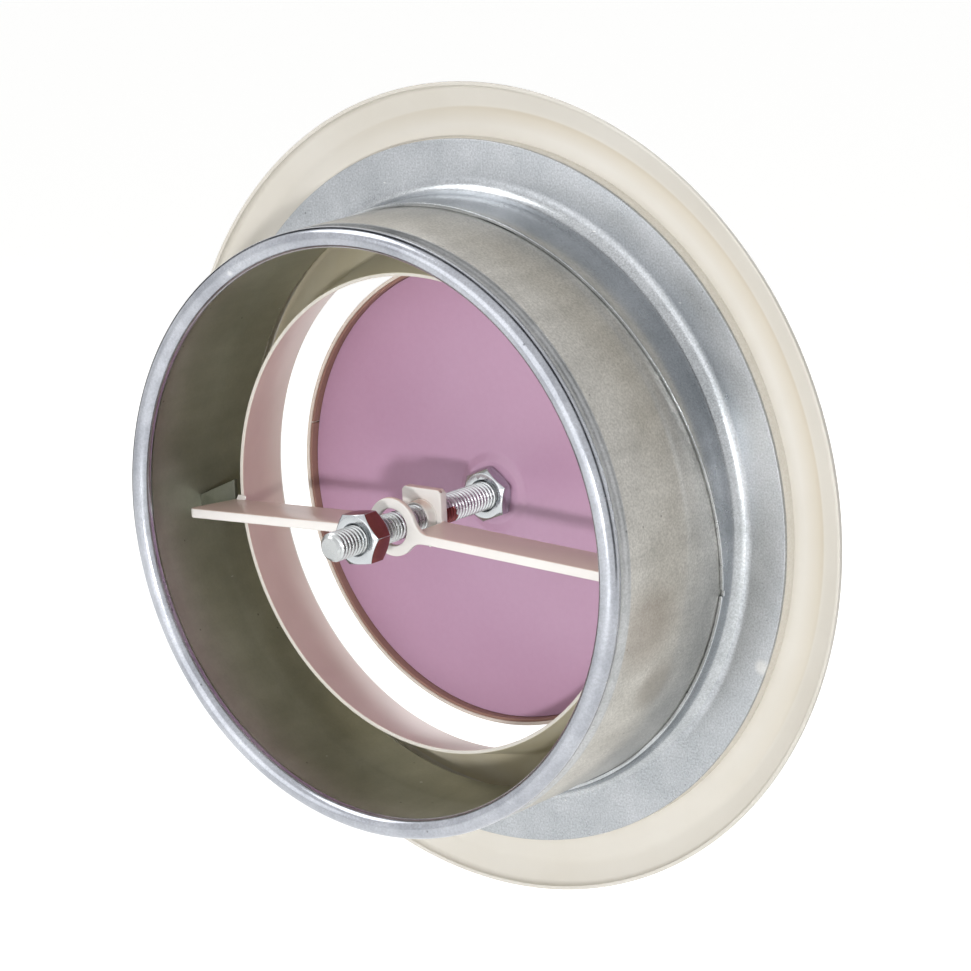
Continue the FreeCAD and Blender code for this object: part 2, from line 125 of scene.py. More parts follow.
def galvanised(name, dark, light, roughness, grain_mm, speckled, metallic=1.0, marks=()):
    """Hot-dip galvanised sheet: minute spangle as a fine grain, cloudy patches, pits and light flecks.

    A mark is a soft-edged patch of another colour, such as a water spot: centre, radius, colour.
    """
    material, tree, surface, place = finish_of(name, light, metallic, roughness)
    grain = add(tree, "ShaderNodeTexNoise", {"Scale": scale_for(grain_mm), "Detail": 3.0, "Roughness": 0.6},
                {"Vector": place})
    cloud = add(tree, "ShaderNodeTexNoise", {"Scale": scale_for(20.8), "Detail": 5.0, "Roughness": 0.6},
                {"Vector": place})
    rolled = add(tree, "ShaderNodeMapping",
                 {"Scale": (scale_for(3.85), scale_for(20.0), scale_for(3.85))}, {"Vector": place})
    streak = add(tree, "ShaderNodeTexNoise", {"Scale": 1.0, "Detail": 3.0},
                 {"Vector": rolled.outputs["Vector"]})
    tone = add(tree, "ShaderNodeMath", {"operation": "MULTIPLY_ADD", 1: 0.3},
               {0: streak.outputs["Fac"], 2: cloud.outputs["Fac"]})
    ramp = add(tree, "ShaderNodeMapRange", {"From Min": 0.48, "From Max": 0.82},
               {"Value": tone.outputs["Value"]})
    mixed = add(tree, "ShaderNodeMix", {"data_type": "RGBA", 6: linear(dark), 7: linear(light)},
                {0: ramp.outputs["Result"]})
    speckle = add(tree, "ShaderNodeMapRange",
                  {"From Min": 0.32, "From Max": 0.68,
                   "To Min": 1 - 0.28 * speckled, "To Max": 1 + 0.16 * speckled},
                  {"Value": grain.outputs["Fac"]})
    pits = add(tree, "ShaderNodeTexVoronoi", {"Scale": scale_for(5.0)}, {"Vector": place})
    pitted = add(tree, "ShaderNodeMapRange",
                 {"From Min": 0.03, "From Max": 0.06, "To Min": 0.55, "To Max": 1.0},
                 {"Value": pits.outputs["Distance"]})
    shade = add(tree, "ShaderNodeMath", {"operation": "MULTIPLY"},
                {0: speckle.outputs["Result"], 1: pitted.outputs["Result"]})
    coloured = add(tree, "ShaderNodeMix", {"data_type": "RGBA", "blend_type": "MULTIPLY", 0: 1.0},
                   {6: mixed.outputs[2], 7: shade.outputs["Value"]})
    drawn_out = add(tree, "ShaderNodeMapping", {"Scale": (1, 1, 3.5), "Rotation": (0.5, 0.3, 0)},
                    {"Vector": place})
    scuffs = add(tree, "ShaderNodeTexVoronoi", {"Scale": scale_for(13.0)},
                 {"Vector": drawn_out.outputs["Vector"]})
    scuffed = add(tree, "ShaderNodeMapRange",
                  {"From Min": 0.02, "From Max": 0.035, "To Min": 0.7, "To Max": 0.0},
                  {"Value": scuffs.outputs["Distance"]})
    flecked = add(tree, "ShaderNodeMix", {"data_type": "RGBA", 7: linear("#e9e9e6")},
                  {0: scuffed.outputs["Result"], 6: coloured.outputs[2]})
    colours = flecked.outputs[2]
    for spot, size, colour in marks:
        colours = spotted(tree, place, colours, spot, 0.45 * size, size, 0.45, colour)
    tree.links.new(colours, surface.inputs["Base Color"])
    sheen = add(tree, "ShaderNodeMapRange",
                {"From Min": 0.3, "From Max": 0.7, "To Min": roughness - 0.07, "To Max": roughness + 0.1},
                {"Value": cloud.outputs["Fac"]})
    tree.links.new(sheen.outputs["Result"], surface.inputs["Roughness"])
    bumps = add(tree, "ShaderNodeBump", {"Strength": 0.3 * speckled, "Distance": 0.05 * MM},
                {"Height": grain.outputs["Fac"]})
    tree.links.new(bumps.outputs["Normal"], surface.inputs["Normal"])
    return material


def powder_coat(name, colour, shade, roughness, chips=(), painted_top_shade=None, painted_crest_shade=None):
    """Powder-coated steel: orange-peel ripple, a slight drift in tone, and small dark chips.

    A chip is its centre and radius. The top shade colour is painted shade and painted pink bounce, laid on
    upward faces.
    The crest shade is painted shade on the inner slope of a ring's crest, on its upper right: its outer
    radius, width and colour.
    """
    material, tree, surface, place = finish_of(name, colour, 0.0, roughness, **{"IOR": 1.5})
    drift = add(tree, "ShaderNodeTexNoise", {"Scale": scale_for(28.6), "Detail": 4.0}, {"Vector": place})
    spread = add(tree, "ShaderNodeMapRange", {"From Min": 0.32, "From Max": 0.68},
                 {"Value": drift.outputs["Fac"]})
    mixed = add(tree, "ShaderNodeMix", {"data_type": "RGBA", 6: linear(shade), 7: linear(colour)},
                {0: spread.outputs["Result"]})
    colours = mixed.outputs[2]
    for spot, size in chips:
        colours = spotted(tree, place, colours, spot, size, 1.5 * size, 1.0, "#6d564e")
    # Painted shade: upward faces are tinted towards a pinkish brown.
    if painted_top_shade:
        facing = add(tree, "ShaderNodeTexCoord").outputs["Normal"]
        upward = add(tree, "ShaderNodeSeparateXYZ", links={"Vector": facing})
        upward_mask = add(tree, "ShaderNodeMapRange", {"From Min": 0.5, "From Max": 0.95},
                      {"Value": upward.outputs["Z"]})
        top_shaded = add(tree, "ShaderNodeMix", {"data_type": "RGBA", 7: linear(painted_top_shade)},
                     {0: upward_mask.outputs["Result"], 6: colours})
        colours = top_shaded.outputs[2]
    # Painted shade: a soft darker band on the inner slope of the rim's crest, sharp at the crest, fading out
    # to the left and below.
    if painted_crest_shade:
        outer, width, crest_shade_colour = painted_crest_shade
        flat = add(tree, "ShaderNodeVectorMath", {"operation": "MULTIPLY", 1: (1, 0, 1)}, {0: place})
        radius = add(tree, "ShaderNodeVectorMath", {"operation": "DISTANCE", 1: (0, 0, 0)},
                     {0: flat.outputs["Vector"]}).outputs["Value"]
        axes = add(tree, "ShaderNodeSeparateXYZ", links={"Vector": place})
        fades = [add(tree, "ShaderNodeMapRange", {"From Min": start * MM, "From Max": end * MM},
                     {"Value": reading}).outputs["Result"]
                 for reading, start, end in ((radius, outer - width, outer), (radius, outer + 0.4, outer),
                                             (axes.outputs["X"], -45.0, 10.0),
                                             (axes.outputs["Z"], -60.0, 0.0))]
        run = fades[0]
        for fade in fades[1:]:
            run = add(tree, "ShaderNodeMath", {"operation": "MULTIPLY"}, {0: run, 1: fade}).outputs["Value"]
        crest_shaded = add(tree, "ShaderNodeMix", {"data_type": "RGBA", 7: linear(crest_shade_colour)},
                      {0: run, 6: colours})
        colours = crest_shaded.outputs[2]
    tree.links.new(colours, surface.inputs["Base Color"])
    peel = add(tree, "ShaderNodeTexNoise", {"Scale": scale_for(1.11), "Detail": 2.0}, {"Vector": place})
    relief = add(tree, "ShaderNodeBump", {"Strength": 0.1, "Distance": 0.04 * MM},
                 {"Height": peel.outputs["Fac"]})
    tree.links.new(relief.outputs["Normal"], surface.inputs["Normal"])
    return material


def bright_zinc(name, colour, shade, roughness):
    """Bright zinc plating: clear metal with cloudy passivation and faint turning marks."""
    material, tree, surface, place = finish_of(name, colour, 1.0, roughness)
    cloud = add(tree, "ShaderNodeTexNoise", {"Scale": scale_for(2.38), "Detail": 5.0}, {"Vector": place})
    mixed = add(tree, "ShaderNodeMix", {"data_type": "RGBA", 6: linear(shade), 7: linear(colour)},
                {0: cloud.outputs["Fac"]})
    tree.links.new(mixed.outputs[2], surface.inputs["Base Color"])
    sheen = add(tree, "ShaderNodeMapRange",
                {"From Min": 0.3, "From Max": 0.7, "To Min": roughness - 0.05, "To Max": roughness + 0.09},
                {"Value": cloud.outputs["Fac"]})
    tree.links.new(sheen.outputs["Result"], surface.inputs["Roughness"])
    relief = add(tree, "ShaderNodeBump", {"Strength": 0.12, "Distance": 0.03 * MM},
                 {"Height": cloud.outputs["Fac"]})
    tree.links.new(relief.outputs["Normal"], surface.inputs["Normal"])
    return material


def red_painted_reflection_finish(name, colour, shade):
    """Painted reflection: a mottled dark red, half metallic and still glossy, standing in for a maroon
    reflection on the nut's flats and on the thread.
    """
    material, tree, surface, place = finish_of(name, colour, 0.55, 0.3)
    red_mottle = add(tree, "ShaderNodeTexNoise", {"Scale": scale_for(1.43), "Detail": 5.0}, {"Vector": place})
    mixed = add(tree, "ShaderNodeMix", {"data_type": "RGBA", 6: linear(shade), 7: linear(colour)},
                {0: red_mottle.outputs["Fac"]})
    tree.links.new(mixed.outputs[2], surface.inputs["Base Color"])
    relief = add(tree, "ShaderNodeBump", {"Strength": 0.2, "Distance": 0.03 * MM},
                 {"Height": red_mottle.outputs["Fac"]})
    tree.links.new(relief.outputs["Normal"], surface.inputs["Normal"])
    return material


def intumescent_film(name, colour, shade, roughness):
    """Intumescent sheet under a smooth mauve film: soft sheen, fine mottle, small puckers at the nut."""
    material, tree, surface, place = finish_of(name, colour, 0.0, roughness)
    mottle = add(tree, "ShaderNodeTexNoise", {"Scale": scale_for(1.11), "Detail": 3.0, "Roughness": 0.7},
                 {"Vector": place})
    drift = add(tree, "ShaderNodeTexNoise", {"Scale": scale_for(55.6), "Detail": 3.0}, {"Vector": place})
    tone = add(tree, "ShaderNodeMath", {"operation": "MULTIPLY_ADD", 1: 0.3},
               {0: mottle.outputs["Fac"], 2: drift.outputs["Fac"]})
    ramp = add(tree, "ShaderNodeMapRange", {"From Min": 0.4, "From Max": 0.9},
               {"Value": tone.outputs["Value"]})
    mixed = add(tree, "ShaderNodeMix", {"data_type": "RGBA", 6: linear(shade), 7: linear(colour)},
                {0: ramp.outputs["Result"]})
    tree.links.new(mixed.outputs[2], surface.inputs["Base Color"])
    centre = add(tree, "ShaderNodeVectorMath", {"operation": "DISTANCE", 1: (0, PAD_FACE * MM, 0)},
                 {0: place})
    near = add(tree, "ShaderNodeMapRange",
               {"From Min": 7.0 * MM, "From Max": 11.0 * MM, "To Min": 1.0, "To Max": 0.0},
               {"Value": centre.outputs["Value"]})
    folds = add(tree, "ShaderNodeTexNoise", {"Scale": scale_for(3.12), "Detail": 1.0}, {"Vector": place})
    pucker = add(tree, "ShaderNodeMath", {"operation": "MULTIPLY"},
                 {0: near.outputs["Result"], 1: folds.outputs["Fac"]})
    relief = add(tree, "ShaderNodeBump", {"Strength": 0.5, "Distance": 0.35 * MM},
                 {"Height": pucker.outputs["Value"]})
    tree.links.new(relief.outputs["Normal"], surface.inputs["Normal"])
    return material


def foam(name, colour, shade):
    """Closed-cell foam tape: matt, with cells about half a millimetre across."""
    material, tree, surface, place = finish_of(name, colour, 0.0, 0.9)
    cells = add(tree, "ShaderNodeTexVoronoi", {"Scale": scale_for(0.5)}, {"Vector": place})
    mixed = add(tree, "ShaderNodeMix", {"data_type": "RGBA", 6: linear(shade), 7: linear(colour)},
                {0: cells.outputs["Distance"]})
    tree.links.new(mixed.outputs[2], surface.inputs["Base Color"])
    relief = add(tree, "ShaderNodeBump", {"Strength": 0.4, "Distance": 0.1 * MM},
                 {"Height": cells.outputs["Distance"]})
    tree.links.new(relief.outputs["Normal"], surface.inputs["Normal"])
    return material


# The collar: weathered and warm on the tube, with two water spots low on its right side, greenish and
# softer inside, cooler and smoother on the bead, the neck and the flange, and matt in the bead's crease.
tube_steel = galvanised("galvanised_tube_steel", "#b4b2ad", "#d4d2cd", 0.34, 0.45, 0.8,
                        marks=[((61, -29, -13.5), 11, "#8f8378"), ((55, -20, -27), 7, "#938b82")])
inner_steel = galvanised("galvanised_inner_steel", "#a8a89b", "#c1c1b4", 0.4, 0.6, 0.15, 0.8)
# The catches get a darker copy of the inner steel: painted shade.
shaded_catch_steel = galvanised("galvanised_catch_steel_painted_shade", "#7b7d72", "#8f9185", 0.45, 0.6, 0.15, 0.8)
neck_steel = galvanised("galvanised_neck_steel", "#a7abae", "#c2c5c8", 0.22, 0.4, 0.7)
flange_steel = galvanised("galvanised_flange_steel", "#a6aaae", "#bbbec2", 0.3, 0.4, 0.9,
                          marks=[((67.2, 0, -27.1), 2.0, "#e2e1dc")])
bead_steel = galvanised("galvanised_bead_steel", "#9fa2aa", "#bec1c8", 0.2, 0.5, 0.4,
                        marks=[((-30.3, -41.3, 50.4), 1.0, "#ffffff")])
crease_steel = galvanised("galvanised_crease_steel", "#adafb0", "#cbcccd", 0.42, 0.45, 0.6)
plate_steel = galvanised("galvanised_plate_steel", "#8f918f", "#b9bab8", 0.4, 0.5, 0.5)

# The valve body: cream all over, with painted shade along the inner slope of the rim's crest, a
# pinkish-brown painted reflection and shade inside the throat, and a yellower painted reflection behind the
# seat.
body_paint = powder_coat("cream_powder_coat", "#dad6ce", "#d4cfc5", 0.3, painted_crest_shade=(79.3, 3.3, "#cac1b0"))
front_paint = powder_coat("cream_powder_coat_front", "#dfdbd3", "#d9d4ca", 0.3)
throat_reflection_paint = powder_coat("cream_powder_coat_painted_pink_reflection", "#dcc9bd", "#ccb5a9", 0.32)
back_reflection_paint = powder_coat("cream_powder_coat_back_painted_reflection", "#d8d2c0", "#c9bea0", 0.35)
# The bar's upward faces get a pinkish-brown painted shade and painted pink bounce.
bar_paint = powder_coat("white_powder_coat", "#ebe8e4", "#e5e0dc", 0.26,
                        [((4.7, -20.6, 5.8), 0.35), ((34.2, -28.5, -1.8), 0.3)], painted_top_shade="#e8cfc3")
disc_paint = powder_coat("disc_powder_coat", "#e5dfd5", "#e0d8cc", 0.32)

# The hardware: the thread is duller and darker on its duct half.
zinc_rod = bright_zinc("zinc_plated_thread", "#dcdedf", "#b9bdc0", 0.24)
darker_rod = bright_zinc("zinc_plated_thread_darker", "#ced0d0", "#a5a9ab", 0.24)
zinc_nut = bright_zinc("zinc_plated_nut", "#ced1d3", "#b4b9bd", 0.17)
# Painted reflection: dark red on the lock nut's flats and on a patch of the thread.
red_painted_reflection = red_painted_reflection_finish("dark_red_painted_reflection", "#8d4542", "#6c3231")

pad_film = intumescent_film("mauve_intumescent_film", "#bf9bb6", "#b690ab", 0.3)
strip_film = intumescent_film("brown_intumescent_strip", "#9c7a6e", "#8a685c", 0.55)
tape_foam = foam("cream_foam_tape", "#e5e1d8", "#d9d3c7")


def bent(start, heading, moves, offset=0.0, step=9.0):
    """Points (radius, height) along a bend path, at an offset to its left."""
    x, y = start
    h = math.radians(heading)
    points = [(x - math.sin(h) * offset, y + math.cos(h) * offset)]
    for move in moves:
        if move[0] == "run":
            x += move[1] * math.cos(h)
            y += move[1] * math.sin(h)
            points.append((x - math.sin(h) * offset, y + math.cos(h) * offset))
            continue
        radius, angle = move[1], move[2]
        side = 1 if angle > 0 else -1
        cx, cy = x - side * radius * math.sin(h), y + side * radius * math.cos(h)
        count = max(2, math.ceil(abs(angle) / step))
        for _ in range(count):
            h += math.radians(angle) / count
            x, y = cx + side * radius * math.sin(h), cy - side * radius * math.cos(h)
            points.append((x - math.sin(h) * offset, y + math.cos(h) * offset))
    return points


def sheet_profile(start, heading, moves, near, far):
    """Closed profile of a sheet between two offsets of a bend path."""
    return bent(start, heading, moves, near) + bent(start, heading, moves, far)[::-1]


def drawn(name, points, closed=True):
    """A line through points in mm, drawn corner by corner; it ends in edit mode, all selected."""
    bpy.ops.object.select_all(action="DESELECT")
    bpy.ops.mesh.primitive_plane_add(size=MM, location=Vector(points[0]) * MM)
    piece = bpy.context.object
    piece.name = name
    bpy.ops.object.mode_set(mode="EDIT")
    bpy.ops.mesh.select_mode(type="VERT")
    bpy.ops.mesh.select_all(action="SELECT")
    bpy.ops.mesh.merge(type="CENTER")
    here = Vector(points[0])
    for there in points[1:] + (points[:1] if closed else []):
        there = Vector(there)
        bpy.ops.mesh.extrude_region_move(TRANSFORM_OT_translate={"value": (there - here) * MM})
        here = there
    bpy.ops.mesh.select_all(action="SELECT")
    bpy.ops.mesh.remove_doubles(threshold=0.002 * MM)
    return piece


def spun(name, profile, steps=192):
    """A profile (radius, height) spun about the duct axis, closed unless both its ends are on the axis."""
    from_axis_to_axis = profile[0][0] == 0 and profile[-1][0] == 0
    piece = drawn(name, [(r, y, 0) for r, y in profile], not from_axis_to_axis)
    bpy.ops.mesh.spin(steps=steps, angle=math.tau, center=(0, 0, 0), axis=(0, 1, 0))
    bpy.ops.mesh.select_all(action="SELECT")
    bpy.ops.mesh.remove_doubles(threshold=0.002 * MM)
    bpy.ops.mesh.normals_make_consistent(inside=False)
    bpy.ops.object.mode_set(mode="OBJECT")
    return piece


def placed(piece):
    """Puts the piece's place, turn and size into its mesh, so that its object sits at the origin."""
    bpy.ops.object.select_all(action="DESELECT")
    piece.select_set(True)
    bpy.context.view_layer.objects.active = piece
    bpy.ops.object.transform_apply(location=True, rotation=True, scale=True)


def applied(piece, kind, **settings):
    """Adds a modifier with its settings and applies it."""
    bpy.context.view_layer.objects.active = piece
    modifier = piece.modifiers.new("shape", kind)
    for key, value in settings.items():
        setattr(modifier, key, value)
    bpy.ops.object.modifier_apply(modifier=modifier.name)


def rounded(piece, width, corner=32.0):
    """Breaks the sharp edges and shades the rest smooth."""
    placed(piece)
    applied(piece, "BEVEL", width=width * MM, segments=3, limit_method="ANGLE",
            angle_limit=math.radians(corner), use_clamp_overlap=False)
    bpy.ops.object.shade_smooth_by_angle(angle=math.radians(corner))


def combined(piece, tool, operation):
    """Cuts the piece with a tool, or keeps only what the two share, and removes the tool."""
    placed(piece)
    placed(tool)
    applied(piece, "BOOLEAN", object=tool, operation=operation, solver="EXACT")
    bpy.data.objects.remove(tool)


def block(size, place, turn=0.0):
    """A cutting block, sized and placed in mm and turned about the duct axis, in radians."""
    bpy.ops.object.select_all(action="DESELECT")
    bpy.ops.mesh.primitive_cube_add(size=1, location=(0, 0, 0))
    piece = bpy.context.object
    piece.scale = [v * MM for v in size]
    piece.rotation_euler = (0, turn, 0)
    piece.location = [v * MM for v in place]
    return piece


def copy_of(node):
    """A merged copy of a CAD node's mesh, as the start of a finer piece."""
    bpy.ops.object.select_all(action="DESELECT")
    nodes[node].select_set(True)
    bpy.context.view_layer.objects.active = nodes[node]
    bpy.ops.object.duplicate()
    piece = bpy.context.object
    piece.name = "finished_" + node
    bpy.ops.object.mode_set(mode="EDIT")
    bpy.ops.mesh.select_all(action="SELECT")
    bpy.ops.mesh.remove_doubles(threshold=0.003 * MM)
    bpy.ops.mesh.dissolve_limited(angle_limit=math.radians(1.0))
    bpy.ops.object.mode_set(mode="OBJECT")
    return piece


def dressed(piece, body, node, slot, *materials):
    """Gives the piece its materials, lets it ride on its body and stand for its solid."""
    piece.data.materials.clear()
    for material in materials:
        piece.data.materials.append(material)
    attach(piece, body)
    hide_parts(node)


def painted_where(piece, index, chosen):
    """Gives the faces for which chosen(centre in mm, normal) is true another material."""
    for face in piece.data.polygons:
        if chosen(face.center / MM, face.normal):
            face.material_index = index


def radius_of(point):
    """How far a point is from the duct axis."""
    return math.hypot(point.x, point.z)


def outward(at, normal):
    """1 for a face that looks straight away from the duct axis, -1 for one that looks at it."""
    return normal.dot(Vector((at.x, 0, at.z)).normalized())


def sin(degrees):
    """Sine of an angle in degrees."""
    return math.sin(math.radians(degrees))


def cos(degrees):
    """Cosine of an angle in degrees."""
    return math.cos(math.radians(degrees))


def spigot_tube():
    """Tube that is drawn in under the neck of the flange and ends in a crease and a rolled bead."""
    draw_r, crease, nip, curl, past_neck = 10.0, 35.0, 1.05, 250.0, 0.3
    crease_border, bead_border = -34.8, -38.0
    draw = math.degrees(math.acos(1 - (SPIGOT_R - SEAT_R) / (2 * draw_r)))
    seat = -NECK_DEEP + past_neck - NECK_BEND_R
    swell = (nip + BEAD_R) * (1 - cos(crease))
    step = math.acos(1 - swell / (2 * BEAD_R))
    lead = 2 * BEAD_R * math.sin(step) + (nip + BEAD_R) * sin(crease)
    wall = -SPIGOT_END - NECK_BEND_R - BEAD_R - lead - seat - 2 * draw_r * sin(draw)
    moves = [
        ("run", seat), ("bend", draw_r, draw), ("bend", draw_r, -draw), ("run", wall),
        ("bend", BEAD_R, -math.degrees(step)), ("bend", BEAD_R, math.degrees(step)),
        ("bend", nip, crease), ("bend", BEAD_R, -crease - curl),
    ]
    profile = sheet_profile((SEAT_R, -NECK_BEND_R), -90, moves, 0, -TUBE_SHEET)
    tube = spun("finished_spigot_tube", profile, 224)
    rounded(tube, 0.12, 50.0)
    dressed(tube, "collar", "spigot_tube", "galvanised_tube", tube_steel, bead_steel, inner_steel,
            crease_steel)
    painted_where(tube, 2, lambda at, normal: outward(at, normal) < 0)
    painted_where(tube, 3, lambda at, normal: at.y < crease_border and outward(at, normal) > 0)
    painted_where(tube, 1, lambda at, normal: at.y < bead_border)


def mounting_flange():
    """Flange with a neck that sleeves the tube; the neck's edge is askew and notched at its seam."""
    neck_mean, deep_at, seam_at = -3.4, math.radians(74.0), math.radians(-10.9)
    notch_size, notch_y, waste_width, waste_height = (6, 4.2, 1.2), -6.0, 150, 20
    bend_x = SEAT_R + FLANGE_SHEET + NECK_BEND_R
    moves = [("run", FLANGE_R - bend_x), ("bend", NECK_BEND_R, 90),
             ("run", -NECK_SHALLOW - NECK_BEND_R), ("run", NECK_SHALLOW - NECK_DEEP)]
    profile = sheet_profile((FLANGE_R, 0), 180, moves, 0, -FLANGE_SHEET)
    flange = spun("finished_mounting_flange", profile, 224)
    askew = block((waste_width, waste_height, waste_width), (0, NECK_SHALLOW - waste_height / 2, 0))
    placed(askew)
    bpy.ops.object.mode_set(mode="EDIT")
    bpy.ops.mesh.select_all(action="SELECT")
    slope = (neck_mean - NECK_DEEP) / SEAT_R
    bpy.ops.mesh.bisect(plane_co=(0, neck_mean * MM, 0),
                        plane_no=(slope * math.cos(deep_at), 1, slope * math.sin(deep_at)),
                        clear_outer=True, use_fill=True, threshold=0.001 * MM)
    bpy.ops.mesh.select_all(action="SELECT")
    bpy.ops.mesh.normals_make_consistent(inside=False)
    bpy.ops.object.mode_set(mode="OBJECT")
    combined(flange, askew, "DIFFERENCE")
    notch_place = (SEAT_R * math.cos(seam_at), notch_y, SEAT_R * math.sin(seam_at))
    combined(flange, block(notch_size, notch_place, -seam_at), "DIFFERENCE")
    rounded(flange, 0.15, 50.0)
    dressed(flange, "collar", "mounting_flange", "galvanised_flange", flange_steel, neck_steel)
    painted_where(flange, 1, lambda at, normal: at.y < -FLANGE_SHEET / 2)


def collar_catches():
    """The two bayonet catches, each cut to a ramp between its tube end and its free end."""
    tube_x, free_x, waste_y, waste_width, waste_height = 61.3, 51.4, -16.0, 30, 20.0
    catches = copy_of("collar_catches")
    for side, tube_z, free_z in ((-1, -2.9, 1.5), (1, -4.95, -8.5)):
        slope = math.atan2(free_z - tube_z, side * (free_x - tube_x))
        centre = Vector((side * (tube_x + free_x) / 2, waste_y, (tube_z + free_z) / 2))
        centre += Vector((-math.sin(slope), 0, math.cos(slope))) * waste_height / 2
        combined(catches, block((waste_width, waste_width, waste_height), centre, -slope), "DIFFERENCE")
    rounded(catches, 0.12)
    dressed(catches, "collar", "collar_catches", "galvanised_catch", shaded_catch_steel)


def foam_gasket():
    """Foam tape between flange and valve body, whose outer edge bulges a little under the pressure."""
    inner_r = 65.5
    profile = [(inner_r, FLANGE_SHEET), (FLANGE_R - 0.2, FLANGE_SHEET), (FLANGE_R, 1.5),
               (FLANGE_R, 2.5), (FLANGE_R + 0.1, BODY_BACK), (inner_r, BODY_BACK)]
    tape = spun("finished_foam_gasket", profile)
    rounded(tape, 0.1)
    dressed(tape, "insert", "foam_gasket", "gasket_foam", tape_foam)


def valve_body():
    """One spun sheet: a widening throat, the seat cone, a flat band, a low rim and a turned lip."""
    opening, seat, rise, fall = 14.4, 33.0, 18.0, 16.0
    flare_r, band_r, rim_r, crest_r, lip_r = 2.5, 5.0, 6.0, 3.5, 1.2
    throat_run, past_flange, rim_run, lip_edge = 16.4, 0.5, 2.6, 0.3
    flare_y = THROAT_END + throat_run + flare_r * (cos(seat) - sin(opening))
    cone = (BODY_BACK - flare_y - band_r * (1 - cos(seat))) / sin(seat)
    band_from = THROAT_R + throat_run * sin(opening) / cos(opening) + cone * cos(seat)
    band_from += flare_r * (cos(opening) - sin(seat)) + band_r * sin(seat)
    rim_from = FLANGE_R + past_flange
    bends = rim_r * sin(rise) + crest_r * (sin(rise) + sin(fall)) + lip_r * (1 - sin(fall))
    fall_run = LIP_R - BODY_SHEET - rim_from - rim_run * cos(rise) - bends
    moves = [
        ("run", throat_run / cos(opening)), ("bend", flare_r, seat + opening - 90), ("run", cone),
        ("bend", band_r, -seat), ("run", rim_from - band_from), ("bend", rim_r, rise), ("run", rim_run),
        ("bend", crest_r, -rise - fall), ("run", fall_run / cos(fall)), ("bend", lip_r, fall - 90),
        ("run", lip_edge),
    ]
    profile = sheet_profile((THROAT_R, THROAT_END), 90 - opening, moves, 0, BODY_SHEET)
    body = spun("finished_valve_body", profile, 224)
    rounded(body, 0.15, 50.0)
    dressed(body, "insert", "valve_body", "cream_enamel", body_paint, front_paint, throat_reflection_paint, back_reflection_paint)
    throat_border, back_border = -3.0, 66.0
    painted_where(body, 1, lambda at, normal: normal.y > 0.1)
    # Inside the throat: pinkish-brown painted reflection and shade.
    painted_where(body, 2, lambda at, normal: at.y < throat_border and outward(at, normal) < -0.5)
    # Behind the seat: a yellower painted reflection and shade.
    painted_where(body, 3, lambda at, normal: radius_of(at) < back_border and outward(at, normal) > 0.2)


def crossbar():
    """Flat bar with raked ends, an eye and a tab, its edges rounded by the coat."""
    bar = copy_of("crossbar")
    rounded(bar, 0.28)
    dressed(bar, "insert", "crossbar", "white_enamel", bar_paint)


def crossbar_welds():
    """Short painted fillets where the bar meets the end of the throat."""
    welds = copy_of("crossbar_welds")
    rounded(welds, 0.15)
    dressed(welds, "insert", "crossbar_welds", "painted_weld", bar_paint)


def threaded_bush():
    """Bush in the tab: a shank in the hole and a slimmer collar with a chamfered mouth."""
    bore_r, collar_r, shank_r = 3.02, 3.57, 3.7
    duct_end, shoulder, room_end = -23.4, -21.2, -19.2
    profile = [(bore_r, room_end), (bore_r, duct_end + 0.2), (bore_r + 0.13, duct_end),
               (collar_r - 0.17, duct_end), (collar_r - 0.05, duct_end + 0.15), (collar_r, duct_end + 0.5),
               (collar_r, shoulder), (shank_r, shoulder), (shank_r, room_end)]
    bush = spun("finished_threaded_bush", profile, 96)
    rounded(bush, 0.12)
    dressed(bush, "insert", "threaded_bush", "white_enamel_bush", bar_paint)


def spindle():
    """M6 rod: one pitch of the thread profile screwed along the axis, cut to length and chamfered."""
    turns, start, spare = 62, -51.5, 0.2
    root_ends, crest_starts, crest_ends = 0.12, 0.44, 0.7
    profile = [(THREAD_ROOT_R, 0), (THREAD_ROOT_R, root_ends), (THREAD_R, crest_starts),
               (THREAD_R, crest_ends), (THREAD_ROOT_R, PITCH)]
    rod = drawn("finished_spindle", [(r, start + y, 0) for r, y in profile], False)
    bpy.ops.object.mode_set(mode="OBJECT")
    placed(rod)
    applied(rod, "SCREW", axis="Y", angle=math.tau, screw_offset=PITCH * MM, iterations=turns,
            steps=36, render_steps=36)
    bpy.ops.object.mode_set(mode="EDIT")
    bpy.ops.mesh.select_all(action="SELECT")
    bpy.ops.mesh.remove_doubles(threshold=0.004 * MM)
    bpy.ops.mesh.normals_make_consistent(inside=False)
    for y, facing in ((ROD_FROM - spare, -1), (ROD_TO + spare, 1)):
        bpy.ops.mesh.select_all(action="SELECT")
        bpy.ops.mesh.bisect(plane_co=(0, y * MM, 0), plane_no=(0, facing, 0), clear_outer=True,
                            use_fill=True, threshold=0.0005 * MM)
    bpy.ops.mesh.select_all(action="SELECT")
    bpy.ops.mesh.normals_make_consistent(inside=False)
    bpy.ops.object.mode_set(mode="OBJECT")
    duct_end_r, room_end_r, lathe_r = 2.05, 2.3, 3.2
    turned = [(0, ROD_FROM), (duct_end_r, ROD_FROM), (lathe_r, ROD_FROM + lathe_r - duct_end_r),
              (lathe_r, ROD_TO - lathe_r + room_end_r), (room_end_r, ROD_TO), (0, ROD_TO)]
    combined(rod, spun("chamfer_tool", turned, 72), "INTERSECT")
    placed(rod)
    bpy.ops.object.shade_smooth_by_angle(angle=math.radians(28))
    dressed(rod, "spindle", "spindle", "zinc_thread", zinc_rod, red_painted_reflection, darker_rod)
    # A patch of painted dark red reflection lies on the lower right of the thread, in front of the disc.
    darker_border, red_from, red_to = -24.0, -18.0, -13.6
    painted_where(rod, 2, lambda at, normal: at.y < darker_border)
    painted_where(rod, 1, lambda at, normal: red_from < at.y < red_to - 0.5 * at.z
                  and at.z < 0.9 and at.x > 0)


